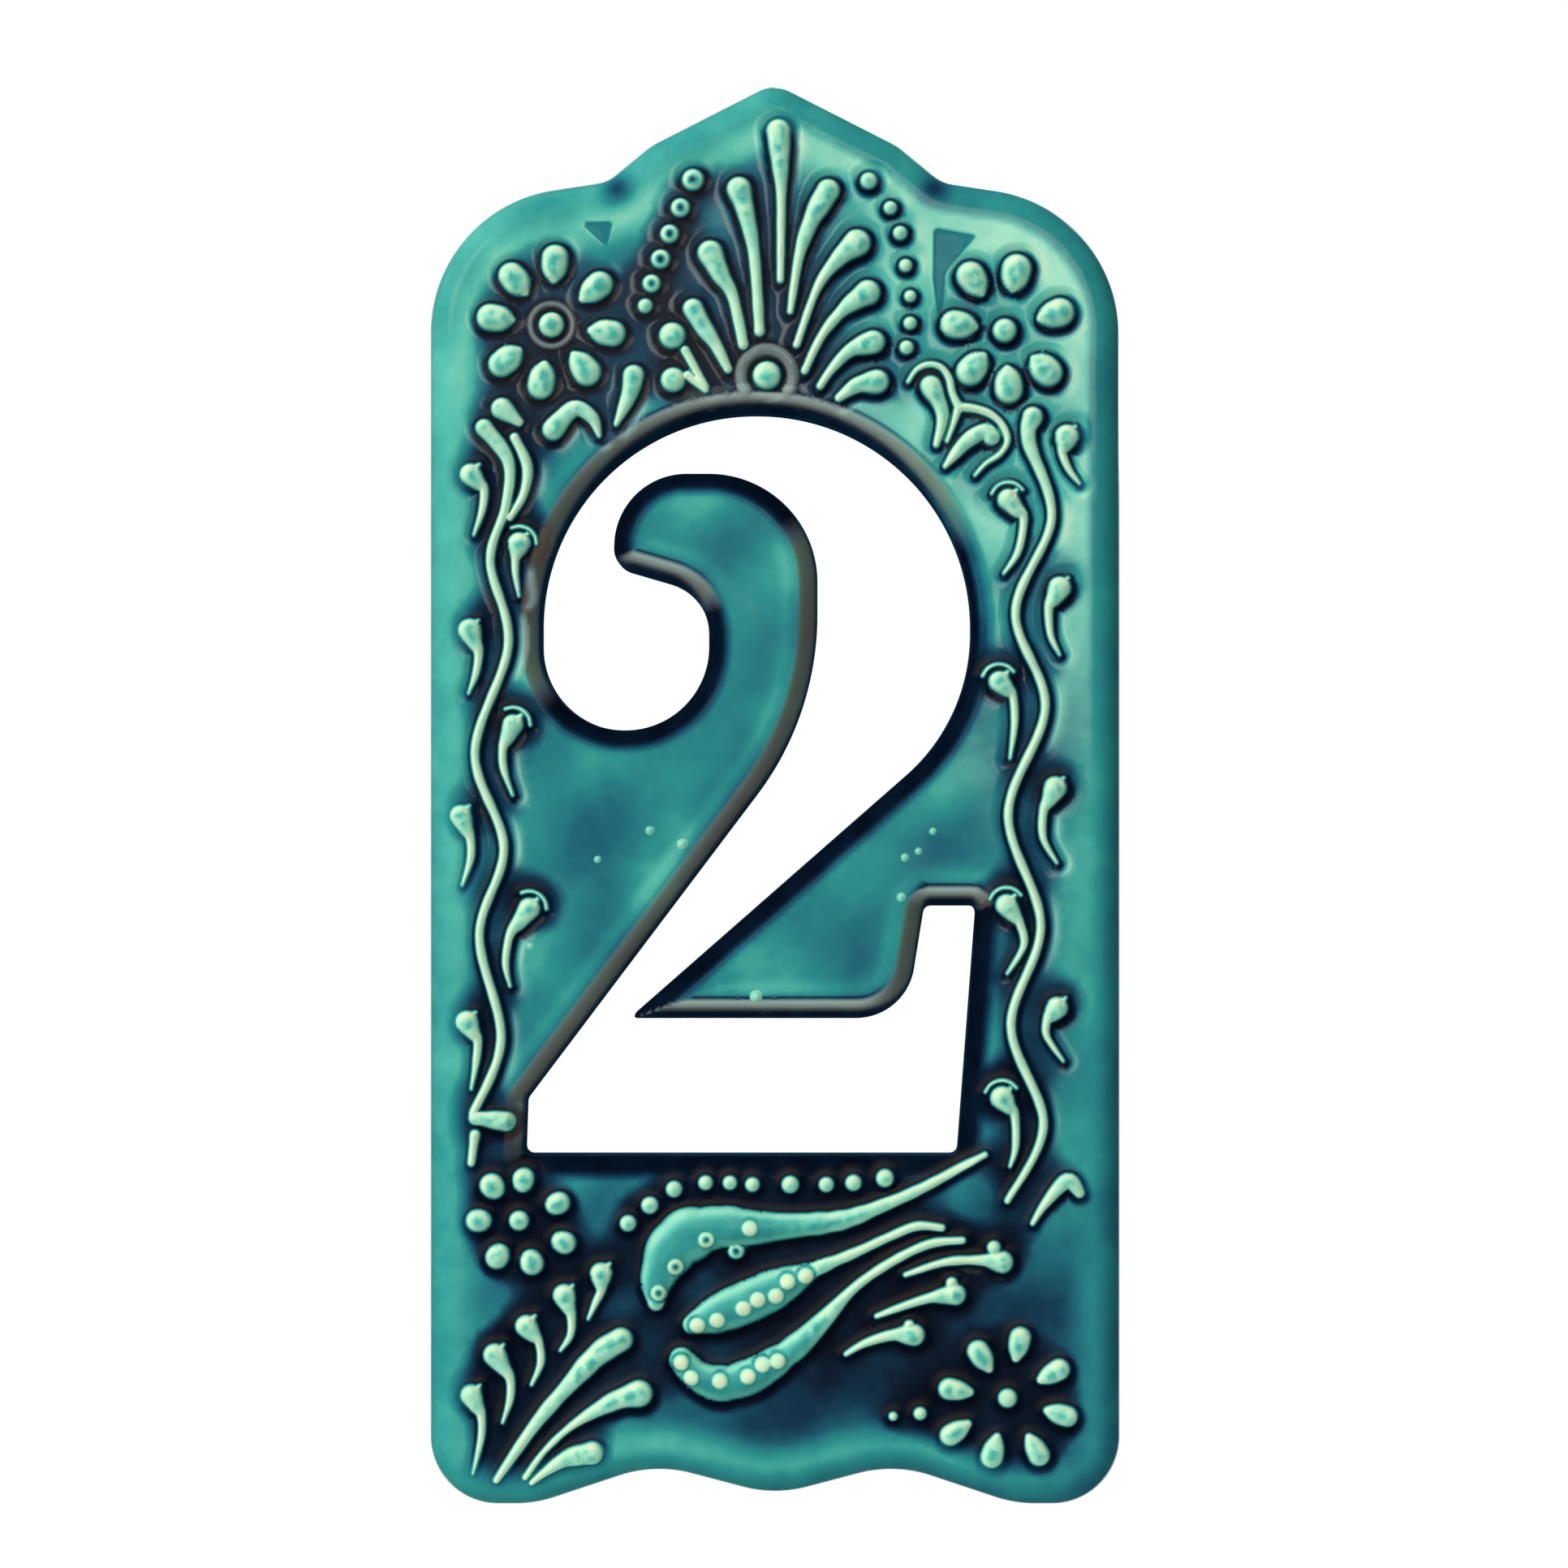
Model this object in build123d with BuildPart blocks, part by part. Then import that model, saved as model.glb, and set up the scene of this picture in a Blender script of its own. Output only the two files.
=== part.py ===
"""House number plaque with a pierced numeral 2 and a raised floral relief.

One pressed clay body, glazed on the front and set with adhesive on its flat back.
X is across the plaque, Z is up, and the front faces -Y from a back plane at y = 0.
All sizes are in millimetres.
"""
import os
from math import cos, radians, sin

from build123d import *

os.makedirs("parts", exist_ok=True)

# The body, with a rounded front edge and a bevelled lip round the numeral.
plaque_width = 76.4
plaque_height = 157.0
thickness = 8.0
edge_round = 3.0
lip_bevel = 2.0

# The arched top and the waved bottom edge.
arch_drop = 6.5
notch_drop = 10.5
shoulder_drop = 13.5
apex_radius = 4.0
arch_radius = 8.0
notch_radius = 4.0
shoulder_radius = 16.0
foot_radius = 7.5
wave_height = 4.4
wave_radius = 14.0

# The numeral: its height, and its drawn corners, each as x, z and a radius. They run round the
# ball end, along the inside of the curve, round the foot, up the bowl and over the crown.
numeral_height = 82.5
ball_end = [(-25.9, 7.2, 9.25), (-7.3, 7.2, 9.25), (-7.3, 22.3, 6.0), (-17.9, 25.4, 2.5)]
inside = [(-17.5, 35.6, 8.0), (4.7, 35.6, 12.0), (4.7, 8.9, 33.0), (-27.6, -33.9, 1.0)]
foot = [(-27.8, -40.0, 0.8), (20.3, -40.0, 0.8), (22.4, -12.2, 0.9), (16.5, -12.2, 0.8)]
bowl = [(14.5, -24.65, 6.5), (-16.0, -24.65, 0.0), (21.8, 8.5, 21.0), (21.8, 42.4, 23.7)]
crown = [(-25.9, 42.4, 23.7)]
drawn = ball_end + inside + foot + bowl + crown

# The raised work, pressed with draft so that it leaves the mould.
relief_height = 1.3
relief_root = 0.5
crown_share = 0.5
bead_radius = 1.1
boss_radius = 1.6
drop_radius = 1.35
tail_radius = 0.4

# The palmette over the numeral and the arcs of dots that close it in.
fan_drops = 5
fan_clear = 4.8
dot_count = 7
dot_arc = 17.5

# The flowers; the upper two lie this far in from the side and under the shoulder.
flower_inset = 13.1
flower_drop = 13.2
large_reach = 6.8
small_reach = 4.7
bent_length = 4.9

# The side vines: each hangs this far in from the side and under the shoulder, and ends this
# far over the numeral's bottom.
left_inset = 6.7
left_drop = 24.3
left_clear = 7.0
right_inset = 10.0
right_drop = 28.8
right_clear = -2.5
vine_width = 1.2
vine_swing = 2.9
vine_bend = 7.0
vine_bays = 7
vine_lead = 3.0
leaf_offset = 2.9
leaf_lift = 2.4
leaf_length = 7.0
leaf_bulge = 1.1
leaf_tip = 0.35

# The row of dots under the numeral.
row_dots = 8
row_pitch = 3.35
row_clear = 0.2
step_across = 2.6
step_down = 2.1

half_width = plaque_width / 2
top_z = plaque_height / 2
bottom_z = -plaque_height / 2
shoulder_z = top_z - shoulder_drop
drawn_top = max(z for x, z, radius in drawn)
drawn_bottom = min(z for x, z, radius in drawn)
scale = numeral_height / (drawn_top - drawn_bottom)
numeral_top = drawn_top * scale
numeral_bottom = drawn_bottom * scale
top_panel = top_z - numeral_top
bottom_panel = numeral_bottom - bottom_z
root_share = 1 + (1 - crown_share) * relief_root / relief_height


def rounded_outline(corners):
    """A closed outline through corners that are each given as x, z and a radius."""
    points = [(x, z) for x, z, radius in corners]
    radii = [radius for x, z, radius in corners]
    FilletPolyline(*points, radius=radii, close=True)


def in_top(u, v):
    """A place over the numeral, in shares of the half width and of the panel height."""
    return (u * half_width, numeral_top + v * top_panel)


def in_bottom(u, v):
    """A place under the numeral, in shares of the half width and of the panel height."""
    return (u * half_width, numeral_bottom - v * bottom_panel)


def around(centre, radius, angle):
    """A place at a radius and an angle round a centre."""
    return (centre[0] + radius * cos(radians(angle)), centre[1] + radius * sin(radians(angle)))


def raised(outline_at):
    """A bead lofted from its root inside the body to its narrower crown."""
    with BuildPart() as bead:
        for level, share in ((-relief_root, root_share), (relief_height, crown_share)):
            with BuildSketch(Plane.XZ.offset(thickness + level)):
                with BuildLine():
                    Polyline(*outline_at(share), close=True)
                make_face()
        loft(ruled=True)
    return bead.part


def dot(centre, radius):
    """A raised round dot."""
    return raised(lambda share: [around(centre, share * radius, 22.5 + 45 * k) for k in range(8)])


def stroke(spine, half_widths):
    """A raised stroke of slip: a round head, then a body that narrows along its spine."""
    points = [Vector(x, z) for x, z in spine]
    steps = [after - before for before, after in zip(points, points[1:])]
    ways = [steps[0]] + [before + after for before, after in zip(steps, steps[1:])] + [steps[-1]]

    def outline_at(share):
        across = [way.normalized() * share * width for way, width in zip(ways, half_widths)]
        left = [point + offset.rotate(Axis.Z, 90) for point, offset in zip(points, across)]
        right = [point + offset.rotate(Axis.Z, -90) for point, offset in zip(points, across)]
        head = [points[0] - across[0].rotate(Axis.Z, angle) for angle in (-50, 0, 50)]
        return [(point.X, point.Y) for point in left[::-1] + head + right]

    return raised(outline_at)


def flower(centre, petals, first_angle, reach):
    """A daisy: a round boss in a ring of petals that narrow toward it."""
    made = [dot(centre, boss_radius)]
    for k in range(petals):
        angle = first_angle + 360 * k / petals
        spine = (around(centre, reach, angle), around(centre, 0.6 * reach, angle))
        made.append(stroke(spine, (drop_radius, 0.6)))
    return made


def comma(head, side, length):
    """A hanging leaf that bulges to one side and sweeps back at its tail."""
    bend = (head[0] + leaf_bulge * side, head[1] - 0.3 * length)
    turn = (head[0] + 0.8 * leaf_bulge * side, head[1] - 0.65 * length)
    tail = (head[0] - 0.1 * leaf_bulge * side, head[1] - length)
    return stroke((head, bend, turn, tail), (drop_radius, 0.9, 0.6, leaf_tip))


def vine(points):
    """A waved stem, swept as a six-sided bead that lies half in the body."""
    with BuildPart() as bead:
        with BuildLine(Plane.XZ.offset(thickness)) as run:
            FilletPolyline(*points, radius=vine_bend)
        with BuildSketch(Plane(run.line @ 0, x_dir=(1, 0, 0), z_dir=run.line % 0)):
            RegularPolygon(vine_width / 2, 6)
        sweep(path=run.line)
    return bead.part


# The palmette: a boss, an upright drop and a fan of drops to each side.
fan_centre = in_top(0.0, 0.12)
fan_height = 0.75 * top_panel
fan_shares = (0.79, 0.61, 0.48, 0.45, 0.43)
relief = [dot(fan_centre, boss_radius)]
upright = [around(fan_centre, share * fan_height, 90) for share in (1.0, 0.72, 0.4)]
relief.append(stroke(upright, (drop_radius, 0.7, tail_radius)))
for side in (-1, 1):
    for k in range(1, fan_drops + 1):
        lean = 12 * k + 1.35 * k * k
        reach = fan_shares[k - 1] * fan_height
        spine = (
            around(fan_centre, reach, 90 - side * lean),
            around(fan_centre, (reach + fan_clear) / 2, 90 - side * 1.08 * lean),
            around(fan_centre, fan_clear, 90 - side * 1.2 * lean),
        )
        relief.append(stroke(spine, (drop_radius, 0.8, tail_radius)))

# The arcs of dots, one to each side of the palmette.
for side in (-1, 1):
    arc_centre = (-side * 2.3, in_top(0.0, 0.33)[1])
    for k in range(dot_count):
        relief.append(dot(around(arc_centre, dot_arc, 90 - side * (41 + 10.5 * k)), bead_radius))

# The upper flowers, of eight petals at the left and of seven at the right.
for side, petals, first_angle in ((-1, 8, 87), (1, 7, 79)):
    centre = (side * (half_width - flower_inset), shoulder_z - flower_drop)
    relief += flower(centre, petals, first_angle, large_reach)

# A drop and a bent leaf under each upper flower.
for side in (-1, 1):
    head_x, head_z = in_top(side * 0.445, 0.085)
    relief.append(stroke(((head_x, head_z), (head_x + 0.6 * side, head_z - 4.4)), (1.0, tail_radius)))
    head_x, head_z = in_top(side * 0.64, -0.055)
    shares = ((0, 0), (0.29, 0.31), (0.65, 0.27), (1, -0.2))
    bent = [(head_x - side * u * bent_length, head_z + v * bent_length) for u, v in shares]
    relief.append(stroke(bent, (1.2, 0.8, 0.6, leaf_tip)))

# The vines: in each bay of a stem hangs a leaf that bulges toward it.
vine_runs = ((-1, left_inset, left_drop, left_clear), (1, right_inset, right_drop, right_clear))
for side, inset, drop, clear in vine_runs:
    axis_x = side * (half_width - inset)
    start_z = shoulder_z - drop
    pitch = (start_z - numeral_bottom - clear) / vine_bays
    stem = [(axis_x, start_z + vine_lead)]
    for k in range(vine_bays):
        toward = 1 if k % 2 == 0 else -1
        turn_z = start_z - (k + 0.5) * pitch
        stem.append((axis_x + toward * vine_swing, turn_z))
        relief.append(comma((axis_x - toward * leaf_offset, turn_z + leaf_lift), toward, leaf_length))
    stem.append((axis_x, start_z - vine_bays * pitch))
    relief.append(vine(stem))

# The row of dots under the numeral, which steps down at its left end.
row_start = -0.293 * half_width
row_z = numeral_bottom - lip_bevel - bead_radius - row_clear
for k in range(row_dots):
    relief.append(dot((row_start + row_pitch * k, row_z), bead_radius))
for k in (1, 2):
    relief.append(dot((row_start - step_across * k, row_z - step_down * k), bead_radius))

# The tulip: three long petals that sweep away into stalks.
petal_places = (
    ((-0.335, 0.43), (-0.33, 0.34), (-0.27, 0.24), (-0.14, 0.2), (0.07, 0.19), (0.31, 0.15), (0.6, 0.05)),
    ((-0.24, 0.485), (-0.15, 0.45), (-0.04, 0.4), (0.1, 0.33), (0.3, 0.245), (0.47, 0.205)),
    ((-0.27, 0.59), (-0.19, 0.645), (-0.06, 0.64), (0.06, 0.555), (0.2, 0.42), (0.37, 0.31), (0.54, 0.245)),
)
petal_widths = (
    (1.1, 1.9, 2.8, 2.3, 1.3, 0.8, 0.4),
    (1.1, 2.1, 2.3, 1.1, 0.6, 0.45),
    (1.3, 1.8, 1.9, 1.4, 0.8, 0.6, 0.45),
)
for places, half_widths in zip(petal_places, petal_widths):
    relief.append(stroke([in_bottom(u, v) for u, v in places], half_widths))

# The lower flowers, the sprig of leaves and clubs at the left and the clubs at the right.
relief += flower(in_bottom(-0.75, 0.21), 7, 84, small_reach)
relief += flower(in_bottom(0.675, 0.7), 8, 78, large_reach)
for k in range(5):
    relief.append(comma(in_bottom(-0.88 + 0.095 * k, 0.69 - 0.088 * k), 1, 8.0 - 0.75 * k))
clubs = (
    ((-0.45, 0.535), (-0.65, 0.72), (-0.8, 0.92)),
    ((-0.4, 0.685), (-0.56, 0.76), (-0.71, 0.91)),
    ((-0.53, 0.85), (-0.6, 0.87), (-0.66, 0.92)),
)
for places in clubs:
    relief.append(stroke([in_bottom(u, v) for u, v in places], (drop_radius, 0.9, tail_radius)))
for k in range(3):
    head_x, head_z = in_bottom(0.66 - 0.13 * k, 0.31 + 0.105 * k)
    reach = 10.0 - 1.2 * k
    spine = ((head_x, head_z), (head_x - 0.5 * reach, head_z - 0.3), (head_x - reach, head_z - 1.6))
    relief.append(stroke(spine, (drop_radius, 0.6, 0.3)))

with BuildPart() as plaque:
    with BuildSketch(Plane.XZ):
        with BuildLine():
            right_side = [
                (0.36 * half_width, top_z - arch_drop, arch_radius),
                (0.487 * half_width, top_z - notch_drop, notch_radius),
                (half_width, shoulder_z, shoulder_radius),
                (half_width, bottom_z, foot_radius),
                (0.694 * half_width, bottom_z, wave_radius),
                (0.348 * half_width, bottom_z + wave_height, wave_radius),
            ]
            left_side = [(-x, z, radius) for x, z, radius in right_side[::-1]]
            apex = (0.0, top_z + 0.5, apex_radius)
            middle = (0.0, bottom_z + 0.2 * wave_height, wave_radius)
            rounded_outline([apex] + right_side + [middle] + left_side)
        make_face()
    extrude(amount=thickness)
    fillet(plaque.faces().sort_by(Axis.Y)[0].edges(), radius=edge_round)

    # The pierced numeral and its bevelled lip.
    with BuildSketch(Plane.XZ):
        with BuildLine():
            rounded_outline([(x * scale, z * scale, radius * scale) for x, z, radius in drawn])
        make_face()
    extrude(amount=thickness, mode=Mode.SUBTRACT)
    lip = plaque.faces().sort_by(Axis.Y)[0].inner_wires()[0].edges()
    chamfer(lip, length=lip_bevel)

    add(relief)

plaque.part.label = "plaque"
export_step(plaque.part, "parts/plaque.step")
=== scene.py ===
from math import atan2, ceil, cos, pi, radians, sin

import bpy
import numpy as np
from mathutils.geometry import delaunay_2d_cdt
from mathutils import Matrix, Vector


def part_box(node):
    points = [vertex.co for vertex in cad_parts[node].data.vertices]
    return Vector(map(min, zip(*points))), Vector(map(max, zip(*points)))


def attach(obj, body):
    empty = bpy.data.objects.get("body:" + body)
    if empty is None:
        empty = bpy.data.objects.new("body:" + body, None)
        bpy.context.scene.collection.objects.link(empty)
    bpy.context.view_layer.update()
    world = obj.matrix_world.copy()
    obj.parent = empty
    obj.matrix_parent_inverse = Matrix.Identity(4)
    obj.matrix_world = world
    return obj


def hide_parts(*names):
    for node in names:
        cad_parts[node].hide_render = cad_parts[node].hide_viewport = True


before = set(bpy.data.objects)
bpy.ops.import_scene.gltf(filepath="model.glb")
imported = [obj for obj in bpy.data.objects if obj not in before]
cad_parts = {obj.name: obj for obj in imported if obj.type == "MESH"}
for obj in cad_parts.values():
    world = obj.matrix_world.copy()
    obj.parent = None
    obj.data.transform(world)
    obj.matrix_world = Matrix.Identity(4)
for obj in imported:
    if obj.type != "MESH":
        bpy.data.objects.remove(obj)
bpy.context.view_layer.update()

# The clay body: one pressed slab of white earthenware with an arched top and a waved foot.
# Its front edge is rounded, and the numeral 2 is pierced right through it with a bevelled lip.
# The front lies toward -Y, x is across and z is up, and the body is worked in millimetres.
mm = 0.001
low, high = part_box("plaque")
half_width = (high.x - low.x) / 2 / mm
top_z = high.z / mm
bottom_z = low.z / mm
relief_height = 1.3
thickness = -low.y / mm - relief_height
edge_round = 3.0
lip_width = 2.1
lip_drop = 2.0
arch_drop = 6.5
notch_drop = 10.5
shoulder_drop = 13.5
wave_height = 4.4
wave_dip = 0.9
wave_radius = 14.0
line_step = 0.45


def rounded_outline(corners, spacing):
    """A closed line through corners given as x, z and a radius.

    Each corner becomes an arc that touches both of its sides, starting a tangent length,
    the radius times the tangent of half the turn, before it. Sides and arcs are divided evenly.
    """
    drawn = np.array(corners)
    place, radius = drawn[:, :2], drawn[:, 2]
    way = np.roll(place, -1, 0) - place
    way /= np.linalg.norm(way, axis=1)[:, None]
    before = np.roll(way, 1, 0)
    turn = np.arctan2(before[:, 0] * way[:, 1] - before[:, 1] * way[:, 0], (before * way).sum(1))
    tangent = radius * np.tan(np.abs(turn) / 2)
    start = place - before * tangent[:, None]
    end = place + way * tangent[:, None]
    runs = []
    for k in range(len(drawn)):
        side = np.sign(turn[k])
        normal = side * np.array([-before[k, 1], before[k, 0]])
        centre = start[k] + radius[k] * normal
        steps = max(2, ceil(radius[k] * abs(turn[k]) / spacing) + 1)
        angle = np.linspace(0, turn[k], steps)
        spoke = start[k] - centre
        across = np.array([-spoke[1], spoke[0]])
        runs.append(centre + np.outer(np.cos(angle), spoke) + np.outer(np.sin(angle), across))
        following = start[(k + 1) % len(drawn)]
        count = max(1, ceil(np.linalg.norm(following - end[k]) / spacing))
        share = np.linspace(0, 1, count + 1)[1:-1, None]
        runs.append(end[k] * (1 - share) + following * share)
    return np.concatenate(runs)


right_side = [
    (0.36 * half_width, top_z - arch_drop, 8.0),
    (0.487 * half_width, top_z - notch_drop, 4.0),
    (half_width, top_z - shoulder_drop, 16.0),
    (half_width, bottom_z, 7.5),
    (0.694 * half_width, bottom_z, wave_radius),
    (0.348 * half_width, bottom_z + wave_height, wave_radius),
]
left_side = [(-x, z, radius) for x, z, radius in right_side[::-1]]
apex = (0.0, top_z + 0.5, 4.0)
wave_middle = (0.0, bottom_z + wave_dip, wave_radius)
outline = rounded_outline([apex] + right_side + [wave_middle] + left_side, line_step)[::-1]

ball_end = [(-25.9, 7.2, 9.25), (-7.3, 7.2, 9.25), (-7.3, 22.3, 6.0), (-17.9, 25.4, 2.5)]
inside = [(-17.5, 35.6, 8.0), (4.7, 35.6, 12.0), (4.7, 8.9, 33.0), (-27.6, -33.9, 1.0)]
foot = [(-27.8, -40.0, 0.8), (20.3, -40.0, 0.8), (22.4, -12.2, 0.9), (16.5, -12.2, 0.8)]
bowl = [(14.5, -24.65, 6.5), (-16.0, -24.65, 0.25), (21.8, 8.5, 21.0), (21.8, 42.4, 23.7)]
crown = [(-25.9, 42.4, 23.7)]
numeral = rounded_outline(ball_end + inside + foot + bowl + crown, line_step)[::-1]


def clear_of(line, points):
    """For each point, its distance to a closed line and whether it lies inside it.

    The distance is the least over the line's sides, and a point is inside if a ray from it
    along +X crosses the line an odd number of times.
    """
    nearest = np.full(len(points), np.inf)
    crossed = np.zeros(len(points), bool)
    x, z = points[:, 0], points[:, 1]
    for (ax, az), (bx, bz) in zip(line, np.roll(line, -1, 0)):
        dx, dz = bx - ax, bz - az
        along = np.clip(((x - ax) * dx + (z - az) * dz) / (dx * dx + dz * dz), 0, 1)
        nearest = np.minimum(nearest, (x - ax - along * dx) ** 2 + (z - az - along * dz) ** 2)
        if dz:
            crossed ^= ((az > z) != (bz > z)) & (x < ax + (z - az) * dx / dz)
    return np.sqrt(nearest), crossed


# The palmette over the numeral: an upright drop and a fan of drops that bend toward one ball.
# Each is a stroke of white slip in low relief, given by x, z and half-width from head to tail.
upright = [(0.4, 73.7, 1.35), (0.6, 70.0, 0.95), (0.7, 66.4, 0.55), (0.6, 57.2, 0.4)]
fan_left = [
    [(-4.0, 67.3, 1.3), (-3.2, 64.5, 0.95), (-2.3, 59.9, 0.65), (-1.7, 51.5, 0.6)],
    [(-7.2, 60.2, 1.35), (-6.0, 57.7, 1.0), (-4.7, 55.4, 0.65), (-3.5, 50.0, 0.6)],
    [(-9.1, 54.0, 1.1), (-7.9, 51.9, 0.95), (-6.6, 50.0, 0.7), (-5.2, 47.3, 0.5)],
    [(-11.4, 51.0, 1.5)],
    [(-10.0, 49.4, 0.5), (-7.7, 45.3, 0.4)],
    [(-11.3, 46.1, 1.35)],
    [(-9.7, 46.6, 0.5), (-7.7, 45.0, 0.4)],
]
fan_right = [
    [(5.9, 67.1, 1.35), (4.1, 63.9, 1.0), (2.7, 59.9, 0.6), (1.7, 53.7, 0.35)],
    [(9.1, 61.3, 1.45), (7.0, 59.5, 0.9), (4.7, 56.3, 0.5), (2.4, 50.0, 0.4)],
    [(10.3, 55.8, 1.35), (7.7, 54.0, 0.8), (5.2, 51.0, 0.5), (3.3, 47.1, 0.45)],
    [(10.9, 50.3, 1.3), (8.4, 49.4, 0.8), (6.3, 47.3, 0.5), (5.0, 45.4, 0.4)],
    [(11.3, 45.9, 1.3), (9.1, 45.5, 0.9), (7.1, 44.1, 0.45)],
]
fan_ball = (-0.9, 46.6, 1.6)
strokes = [upright] + fan_left + fan_right + [[fan_ball]]

# The dots beside the palmette and under the numeral, of the same white slip as the strokes.
# They are set one by one from the trailer, so each has its own size, as x, z and a radius.
dots_left = [(-9.1, 68.3, 1.25), (-10.5, 65.2, 1.1), (-11.7, 62.3, 1.05), (-12.7, 59.5, 1.05)]
dots_left += [(-13.7, 56.8, 1.0), (-14.4, 54.3, 0.8)]
dots_right = [(10.4, 68.2, 0.95), (12.8, 65.2, 0.75), (13.9, 62.4, 0.75), (14.5, 58.8, 0.75)]
dots_right += [(15.0, 55.4, 0.7), (15.0, 52.4, 0.7), (14.6, 49.7, 0.75)]
dots_below = [(-16.3, -47.5, 0.85), (-13.9, -45.5, 0.95), (-11.2, -43.7, 0.9), (-7.7, -43.0, 0.8)]
dots_below += [(-5.0, -43.0, 0.8), (-2.5, -43.2, 0.8), (1.7, -43.2, 1.0), (5.7, -43.2, 0.85)]
dots_below += [(8.7, -43.0, 0.85), (12.2, -42.5, 1.0)]
dots_single = [(16.1, -68.6, 0.7), (13.1, -68.9, 0.5), (-4.3, -50.5, 1.0)]
strokes += [[dot] for dot in dots_left + dots_right + dots_below + dots_single]

# The four daisies: a round boss in a ring of petals, each petal pressed narrow toward the boss.
# A daisy is given by its boss, its petals' length and half-width, and each petal's angle and the
# reach of its middle from the boss.
foot_inset = 0.4
foot_width = 0.45
belly_share = 0.45
belly_width = 0.9
daisies = [
    ((-24.8, 52.2, 1.45), 4.3, 1.5, [(87, 6.8), (40, 6.3), (-8, 6.2), (-53, 5.9),
                                      (-100, 6.2), (-142, 6.4), (173, 6.2), (129, 6.4)]),
    ((25.5, 51.6, 1.35), 4.2, 1.55, [(79, 6.4), (122, 6.6), (173, 5.1), (230, 5.4),
                                     (-86, 6.0), (-44, 6.2), (18, 5.9)]),
    ((-28.4, -47.2, 1.1), 2.6, 1.25, [(128, 4.9), (84, 4.6), (24, 4.8), (-26, 5.6),
                                      (-73, 4.9), (-121, 4.7), (180, 4.6)]),
    ((25.8, -66.9, 1.05), 3.9, 1.2, [(78, 6.1), (122, 5.4), (171, 5.8), (213, 6.8),
                                     (255, 6.0), (299, 6.5), (343, 6.2), (29, 5.8)]),
]
for (x, z, boss), length, width, petals in daisies:
    strokes.append([(x, z, boss)])
    for angle, reach in petals:
        spoke = np.array([cos(radians(angle)), sin(radians(angle))])
        outer = np.array([x, z]) + (reach + 0.5 * length - width) * spoke
        inner = np.array([x, z]) + (reach - 0.5 * length + foot_inset) * spoke
        belly = (1 - belly_share) * outer + belly_share * inner
        strokes.append([(*outer, width), (*belly, belly_width * width), (*inner, foot_width)])

# The vines down both sides: a waved stem of slip with comma leaves hung in its bays, and the bent leaves
# beside the arch, two of them with a thin outline. A comma leaf is a round head with a nub, and a tail
# that thins to a point, given by head, neck, waist and tip. A thin curl lies over each inner head.
stems = [
    [(-32.3, 40.8, 0.95), (-29.6, 37.0, 0.7), (-29.9, 32.0, 0.5), (-31.6, 25.9, 0.5), (-29.6, 16.7, 0.5),
     (-33.3, 4.7, 0.5), (-30.1, -5.8, 0.5), (-32.8, -15.5, 0.5), (-30.4, -27.0, 0.5), (-33.5, -35.3, 0.45)],
    [(28.6, 42.0, 1.15), (28.2, 39.2, 0.75), (30.7, 30.7, 0.5), (26.7, 20.3, 0.5), (30.0, 9.8, 0.5),
     (25.9, -2.1, 0.5), (29.5, -14.4, 0.5), (26.2, -25.6, 0.5), (29.8, -36.5, 0.5), (25.8, -45.0, 0.35)],
]
side_strokes = [
    [(-28.9, 39.7, 0.5), (-27.5, 36.5, 0.6), (-27.9, 33.4, 0.5), (-29.4, 30.8, 0.4)],
    [(-30.3, 42.9, 1.2), (-28.4, 41.4, 0.5)],
    [(-29.8, -36.2, 1.1), (-33.2, -35.8, 0.8)],
    [(-33.3, -37.7, 0.6), (-33.7, -40.8, 0.4)],
    [(33.8, -44.1, 0.6), (32.4, -42.8, 0.9), (30.0, -45.3, 0.5), (28.6, -47.5, 0.3)],
]
arch_leaves = [
    [(-15.7, 46.6, 1.2), (-16.1, 44.6, 0.95), (-17.6, 41.2, 0.3)],
    [(-24.6, 40.6, 1.2), (-22.3, 42.9, 0.9), (-20.3, 41.9, 0.7), (-19.5, 39.9, 0.3)],
    [(17.3, 45.4, 1.15), (18.6, 42.3, 0.7), (17.9, 38.9, 0.35)],
    [(24.0, 39.8, 1.0), (23.2, 40.4, 0.9), (21.1, 39.1, 0.8), (18.9, 36.5, 0.3)],
]
outer_left = [
    [(-33.8, 35.6), (-32.3, 33.9), (-32.5, 31.6), (-33.4, 28.9)],
    [(-33.9, 18.3), (-32.9, 15.8), (-33.2, 13.5), (-34.0, 11.3)],
    [(-34.9, -2.3), (-33.8, -4.9), (-33.8, -7.1), (-34.7, -10.0)],
    [(-34.2, -25.2), (-33.0, -27.3), (-33.2, -29.8), (-33.7, -32.6)],
]
inner_left = [
    [(-28.4, 27.9), (-28.8, 26.2), (-28.8, 24.6), (-28.4, 22.1)],
    [(-29.1, 7.8), (-30.2, 5.2), (-30.1, 2.9), (-29.1, 0.0)],
    [(-27.3, -12.6), (-29.4, -15.5), (-29.9, -18.6), (-29.4, -21.2)],
]
outer_right = [
    [(32.4, 39.8), (31.9, 38.0), (32.6, 36.2), (33.8, 34.6)],
    [(31.6, 23.0), (30.4, 20.8), (30.6, 17.8), (31.6, 15.6)],
    [(31.1, 0.8), (29.8, -1.8), (29.8, -4.8), (31.3, -7.5)],
    [(31.3, -23.6), (30.2, -25.0), (30.2, -26.8), (32.0, -29.5)],
]
inner_right = [
    [(25.9, 32.8), (27.6, 30.7), (27.0, 27.1), (25.4, 24.6)],
    [(24.9, 12.6), (26.4, 11.0), (26.6, 8.0), (26.1, 4.1)],
    [(25.7, -12.2), (27.2, -14.3), (27.6, -16.7), (25.8, -19.8)],
    [(25.2, -33.6), (26.6, -35.5), (26.7, -39.0), (26.1, -41.2)],
]
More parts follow.
